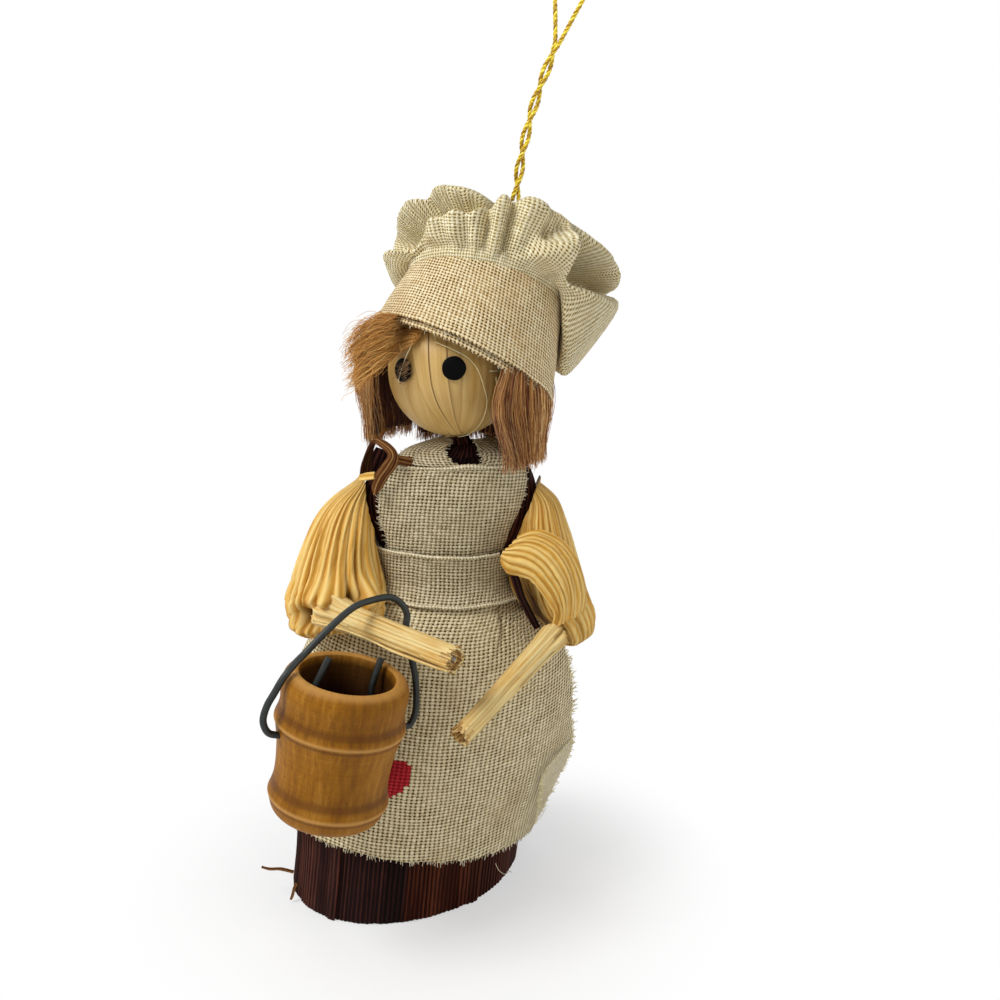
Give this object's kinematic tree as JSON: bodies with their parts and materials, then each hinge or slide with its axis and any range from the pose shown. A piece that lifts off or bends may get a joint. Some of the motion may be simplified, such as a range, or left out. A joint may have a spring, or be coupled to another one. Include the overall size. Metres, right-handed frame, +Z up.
{
  "type": "corn husk doll ornament",
  "caption": "Hanging doll of corn husk in a linen apron and puffed cook's hat, with a turned wooden bucket on a wire bail over its right forearm.",
  "frame": {"origin": "on the floor under the skirt, on its flat foot", "axes": "+Z up, the apron faces -Y, the doll's left hand is at +X"},
  "size_m": [0.0643, 0.0617, 0.1706],
  "materials": {
    "foam": "matt pressed filling",
    "dark_husk": "dyed dark brown, ribbed",
    "red_husk": "dyed reddish brown, ribbed",
    "brown_husk": "dyed brown",
    "gold_husk": "golden, pleated, slight sheen",
    "pale_husk": "natural, fibrous",
    "face_husk": "natural, finely ribbed",
    "linen": "open plain weave",
    "hat_linen": "close plain weave",
    "thread": "twisted thread",
    "dowel": "raw wood",
    "ball": "raw turned wood",
    "black": "black, semi-matt",
    "hair": "coarse fibre",
    "gold_cord": "metallic gold yarn",
    "bucket_wood": "turned, stained, satin",
    "steel_wire": "plain wire",
    "coated_wire": "dark green coating"
  },
  "bodies": {
    "doll": {"skirt_core": "foam", "torso_core": "pale_husk", "spine_stick": "dowel", "waist_tie": "thread", "bodice_right": "dark_husk", "bodice_left": "dark_husk", "apron_bib": "linen", "apron_waistband": "linen", "apron_skirt": "linen", "apron_strap_right": "linen", "apron_strap_left": "linen", "husk_sliver_long": "brown_husk", "husk_sliver_short": "brown_husk", "shoulder_husk": "brown_husk", "head_ball": "ball", "face_strip_right": "face_husk", "face_strip_left": "face_husk", "eye_left": "black", "eye_right": "black", "hair_left": "hair", "hair_back": "hair", "hair_right": "hair", "hair_fringe": "hair", "hat_band": "hat_linen", "hat_crown": "hat_linen", "hanger_loop": "gold_cord", "sleeve_right": "gold_husk", "sleeve_left": "gold_husk", "upper_arm_right": "pale_husk", "upper_arm_left": "pale_husk", "inner_leaf_1": "dark_husk", "outer_leaf_1": "red_husk", "inner_leaf_2": "dark_husk", "outer_leaf_2": "dark_husk", "inner_leaf_3": "dark_husk", "outer_leaf_3": "dark_husk", "inner_leaf_4": "dark_husk", "outer_leaf_4": "red_husk", "inner_leaf_5": "dark_husk", "outer_leaf_5": "dark_husk", "head_husk_1": "face_husk", "head_husk_2": "face_husk", "head_husk_3": "face_husk", "head_husk_4": "face_husk", "head_husk_5": "face_husk", "head_husk_6": "face_husk"},
    "forearm_right": {"forearm_core_right": "pale_husk", "forearm_wrap_right": "pale_husk", "arm_wire_right": "steel_wire"},
    "forearm_left": {"forearm_core_left": "pale_husk", "forearm_wrap_left": "pale_husk", "arm_wire_left": "steel_wire"},
    "bail": {"bail": "coated_wire"},
    "bucket": {"bucket": "bucket_wood"}
  },
  "joints": [
    {"name": "elbow_right", "type": "hinge", "parent": "doll", "child": "forearm_right", "pos_m": [-0.0158, -0.01291, 0.0564], "axis": [-0.6461, -0.7632, 0], "range_deg": [0, 20]},
    {"name": "elbow_left", "type": "hinge", "parent": "doll", "child": "forearm_left", "pos_m": [0.0222, -0.0112, 0.05001], "axis": [-0.7177, 0.6963, 0], "range_deg": [0, 20]},
    {"name": "bail_swing", "type": "hinge", "parent": "forearm_right", "child": "bail", "pos_m": [-0.00973, -0.01805, 0.05556], "axis": [-0.759, 0.6425, 0.1052], "range_deg": [0, 40]},
    {"name": "bucket_tilt", "type": "hinge", "parent": "bail", "child": "bucket", "pos_m": [-0.01371, -0.02542, 0.04061], "axis": [0.8882, 0.4332, -0.153], "range_deg": [-24, 0]}
  ]
}
